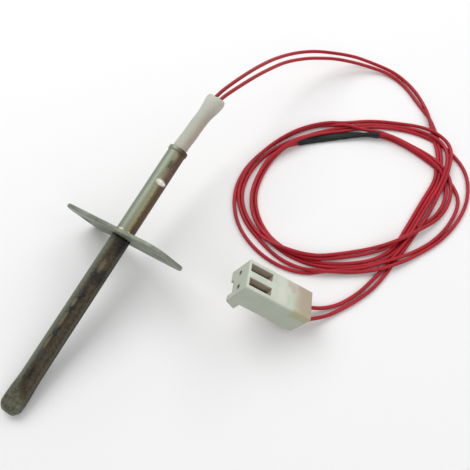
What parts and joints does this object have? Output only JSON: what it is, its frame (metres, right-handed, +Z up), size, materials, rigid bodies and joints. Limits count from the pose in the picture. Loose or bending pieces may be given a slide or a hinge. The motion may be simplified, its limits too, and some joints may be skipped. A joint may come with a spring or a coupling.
{
  "type": "flame sensor probe",
  "caption": "Closed-end metal probe welded in a rectangular mounting flange, with a braided sleeve, two thin insulated leads in a loose coil and a plug-on housing.",
  "frame": {"origin": "on the table under the middle of the probe, measured without its free leads and plug", "axes": "+Y is the probe's heading, from its closed tip to its leads; +Z up; the axis rises 12.7 degrees because the probe lies on its tip and one flange corner"},
  "size_m": [0.0888, 0.1429, 0.0236],
  "materials": {
    "stained_steel": "heat-stained stainless steel, satin",
    "flange_steel": "scuffed rolled sheet",
    "weld_metal": "bright weld",
    "white_ceramic": "matt fired",
    "fill_powder": "packed powder",
    "leg_wire": "bright drawn wire",
    "splice_metal": "satin",
    "glass_fibre": "woven glass fibre",
    "mouth_cement": "matt cement",
    "red_insulation": "smooth extruded insulation",
    "black_shrink": "satin shrink tube",
    "white_nylon": "natural moulded nylon",
    "tinned_contact": "tin-plated brass strip"
  },
  "bodies": {
    "root": {"sheath_tube": "stained_steel", "mounting_flange": "flange_steel", "flange_tack_1": "weld_metal", "flange_tack_2": "weld_metal", "flange_tack_3": "weld_metal", "tip_filling": "fill_powder", "sensor_chip": "white_ceramic", "sensor_leg_a": "leg_wire", "sensor_leg_b": "leg_wire", "ceramic_insulator": "white_ceramic", "splice_crimp_a": "splice_metal", "splice_crimp_b": "splice_metal", "splice_sleeve_a": "glass_fibre", "splice_sleeve_b": "glass_fibre", "inner_lead_a": "red_insulation", "inner_lead_b": "red_insulation", "braided_sleeve": "glass_fibre", "mouth_seal": "mouth_cement", "lead_a_exit": "red_insulation", "lead_b_exit": "red_insulation", "lead_coil": "red_insulation", "heat_shrink_sleeve": "black_shrink", "lead_a_end": "red_insulation", "lead_b_end": "red_insulation", "connector_housing": "white_nylon", "contact_a": "tinned_contact", "contact_b": "tinned_contact"}
  },
  "joints": []
}
